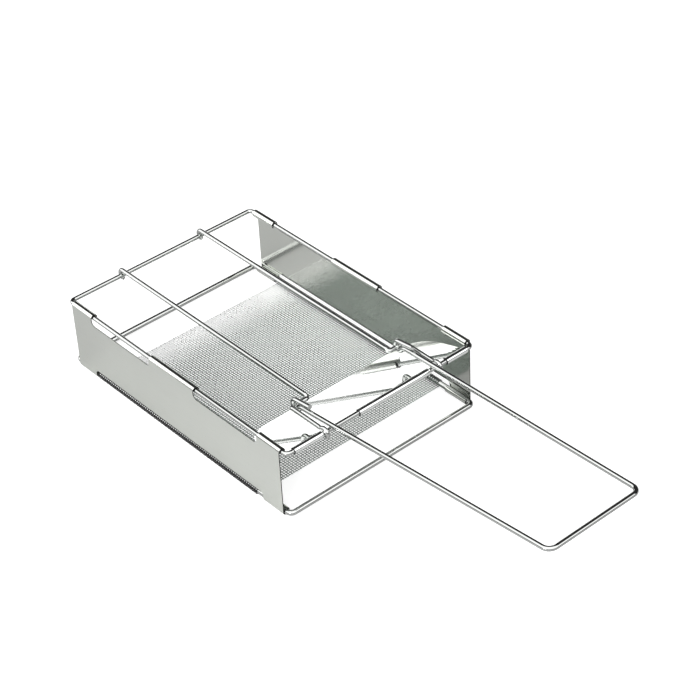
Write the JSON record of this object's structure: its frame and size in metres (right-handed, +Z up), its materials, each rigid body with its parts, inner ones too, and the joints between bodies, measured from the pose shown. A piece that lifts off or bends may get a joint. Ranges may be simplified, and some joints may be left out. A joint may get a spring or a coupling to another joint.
{
  "type": "grill basket",
  "caption": "Folding camp-stove grill basket: wire top grid and mesh burner floor joined by hinged sheet sides, with a hinged flap and a swing-over wire handle.",
  "frame": {"origin": "centre of the basket, on the mesh's flat underside that it stands on", "axes": "+X towards the handle, +Z up, +Y to the left when looking along the handle towards the basket"},
  "size_m": [0.3304, 0.1296, 0.0535],
  "materials": {
    "frame_wire": "bright drawn wire",
    "grid_wire": "bright drawn wire",
    "handle_wire": "bright drawn wire",
    "side_sheet": "satin rolled sheet",
    "flap_sheet": "bright rolled sheet",
    "woven_mesh": "fine woven wire cloth"
  },
  "bodies": {
    "base": {"bottom_frame": "frame_wire", "burner_mesh": "woven_mesh"},
    "left_wall": {"left_side_plate": "side_sheet"},
    "right_wall": {"right_side_plate": "side_sheet"},
    "grid_top": {"top_frame": "frame_wire", "grid_wire_left": "grid_wire", "grid_wire_right": "grid_wire"},
    "flap": {"front_flap": "flap_sheet"},
    "handle": {"handle": "handle_wire"}
  },
  "joints": [
    {"name": "fold", "type": "hinge", "parent": "base", "child": "left_wall", "pos_m": [0, -0.0626, 0.0022], "axis": [1, 0, 0], "range_deg": [0, 55]},
    {"name": "right_wall_fold", "type": "hinge", "parent": "base", "child": "right_wall", "pos_m": [0, 0.0626, 0.0022], "axis": [1, 0, 0], "range_deg": [0, 55]},
    {"name": "grid_fold", "type": "hinge", "parent": "left_wall", "child": "grid_top", "pos_m": [0, -0.0626, 0.0404], "axis": [1, 0, 0], "range_deg": [-55, 0]},
    {"name": "flap_tuck", "type": "hinge", "parent": "grid_top", "child": "flap", "pos_m": [0.09, 0, 0.0404], "axis": [0, 1, 0], "range_deg": [0, 13.8]},
    {"name": "handle_swing", "type": "hinge", "parent": "grid_top", "child": "handle", "pos_m": [0.065, 0, 0.042], "axis": [0, -1, 0], "range_deg": [0, 175]}
  ],
  "couplings": [
    {"joint": "right_wall_fold", "follows": "fold", "ratio": 1},
    {"joint": "grid_fold", "follows": "fold", "ratio": -1},
    {"joint": "flap_tuck", "follows": "fold", "ratio": 0.2509}
  ]
}
